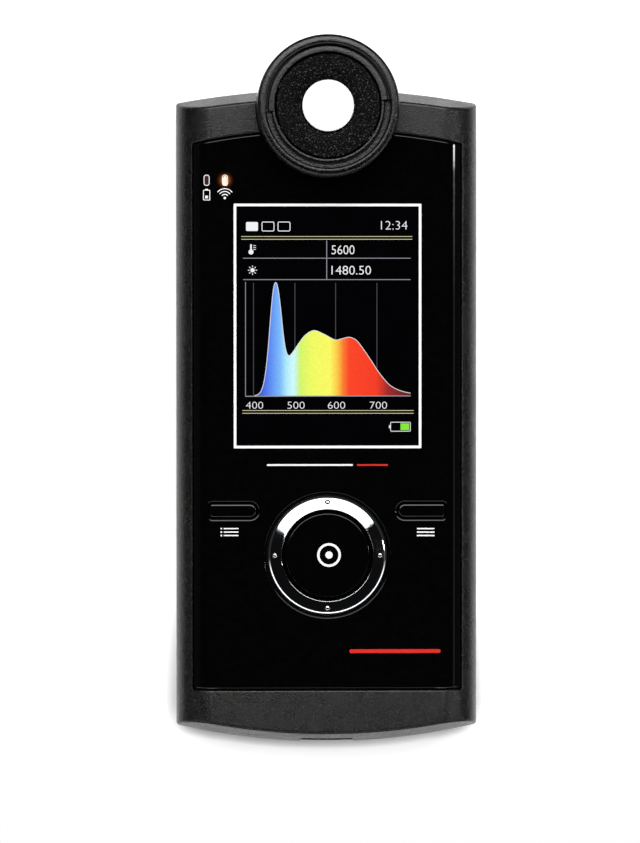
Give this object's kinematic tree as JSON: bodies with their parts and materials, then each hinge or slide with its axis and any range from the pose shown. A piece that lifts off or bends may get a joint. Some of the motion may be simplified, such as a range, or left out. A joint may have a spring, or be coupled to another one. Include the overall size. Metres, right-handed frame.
{
  "type": "handheld light spectrometer",
  "caption": "Slim handheld light spectrometer with a round measuring head, colour display, push keys and navigation ring, sliding battery door and tripod insert.",
  "frame": {"origin": "on the flat back, under the middle of the whole outline seen from the front", "axes": "+X to the user's right, +Y towards the measuring head, +Z out of the display; the device lies on its back"},
  "size_m": [0.06, 0.1404, 0.03],
  "materials": {
    "housing_plastic": "fine grained black",
    "panel_gloss": "gloss black",
    "window_clear": "clear, polished",
    "ring_chrome": "dark mirror",
    "key_plastic": "satin black",
    "opal_plastic": "opal white",
    "light_pipe": "clear, warm",
    "rubber": "soft black",
    "inner_plastic": "matte black",
    "circuit_board": "green solder mask",
    "chip_plastic": "matte black",
    "plated_metal": "bright plated",
    "flex_film": "amber film",
    "brass": "turned",
    "screw_steel": "dull",
    "battery_wrap": "grey wrap",
    "label_film": "bare grey film"
  },
  "bodies": {
    "housing": {"front_shell": "housing_plastic", "rear_shell": "housing_plastic", "front_panel": "panel_gloss", "display_window": "window_clear", "display_gasket": "rubber", "display_module": "inner_plastic", "display_flex": "flex_film", "battery_lamp_pipe": "light_pipe", "battery_lamp_led": "opal_plastic", "radio_lamp_pipe": "light_pipe", "radio_lamp_led": "opal_plastic", "main_board": "circuit_board", "left_switch": "plated_metal", "right_switch": "plated_metal", "measure_switch": "plated_metal", "east_switch": "plated_metal", "north_switch": "plated_metal", "west_switch": "plated_metal", "south_switch": "plated_metal", "processor": "chip_plastic", "memory_chip": "chip_plastic", "wireless_module": "plated_metal", "card_socket": "plated_metal", "memory_card": "chip_plastic", "usb_socket": "plated_metal", "flex_connector": "chip_plastic", "sensor_flex": "flex_film", "head_body": "housing_plastic", "head_cap": "housing_plastic", "head_rim": "housing_plastic", "diffuser_ring": "housing_plastic", "diffuser": "opal_plastic", "diffuser_seal": "rubber", "light_tube": "inner_plastic", "mini_spectrometer": "plated_metal", "sensor_board": "circuit_board", "battery": "battery_wrap", "battery_contacts": "brass", "tripod_insert": "brass", "case_screw_1": "screw_steel", "case_screw_2": "screw_steel", "case_screw_3": "screw_steel", "case_screw_4": "screw_steel", "board_screw_1": "screw_steel", "board_screw_2": "screw_steel", "board_screw_3": "screw_steel", "board_screw_4": "screw_steel", "head_screw_1": "screw_steel", "head_screw_2": "screw_steel"},
    "left_key": {"left_key": "key_plastic"},
    "right_key": {"right_key": "key_plastic"},
    "measure_key": {"measure_key": "key_plastic"},
    "ring_web": {"navigation_web": "rubber"},
    "navigation_ring": {"navigation_ring": "ring_chrome"},
    "battery_door": {"battery_door": "housing_plastic", "rating_label": "label_film"}
  },
  "joints": [
    {"name": "left_key_press", "type": "slide", "parent": "housing", "child": "left_key", "axis": [0, 0, -1], "range_m": [0, 0.0005], "stiffness_N_per_m": 3000},
    {"name": "right_key_press", "type": "slide", "parent": "housing", "child": "right_key", "axis": [0, 0, -1], "range_m": [0, 0.0005], "stiffness_N_per_m": 3000},
    {"name": "measure_key_press", "type": "slide", "parent": "housing", "child": "measure_key", "axis": [0, 0, -1], "range_m": [0, 0.0005], "stiffness_N_per_m": 3000},
    {"name": "ring_up_down", "type": "hinge", "parent": "housing", "child": "ring_web", "pos_m": [0, -0.0326, 0.02], "axis": [1, 0, 0], "range_deg": [-1.5, 1.5], "stiffness_Nm_per_rad": 0.8},
    {"name": "ring_left_right", "type": "hinge", "parent": "ring_web", "child": "navigation_ring", "pos_m": [0, -0.0326, 0.02], "axis": [0, 1, 0], "range_deg": [-1.5, 1.5], "stiffness_Nm_per_rad": 0.8},
    {"name": "battery_door_slide", "type": "slide", "parent": "housing", "child": "battery_door", "axis": [0, -1, 0], "range_m": [0, 0.081]}
  ]
}
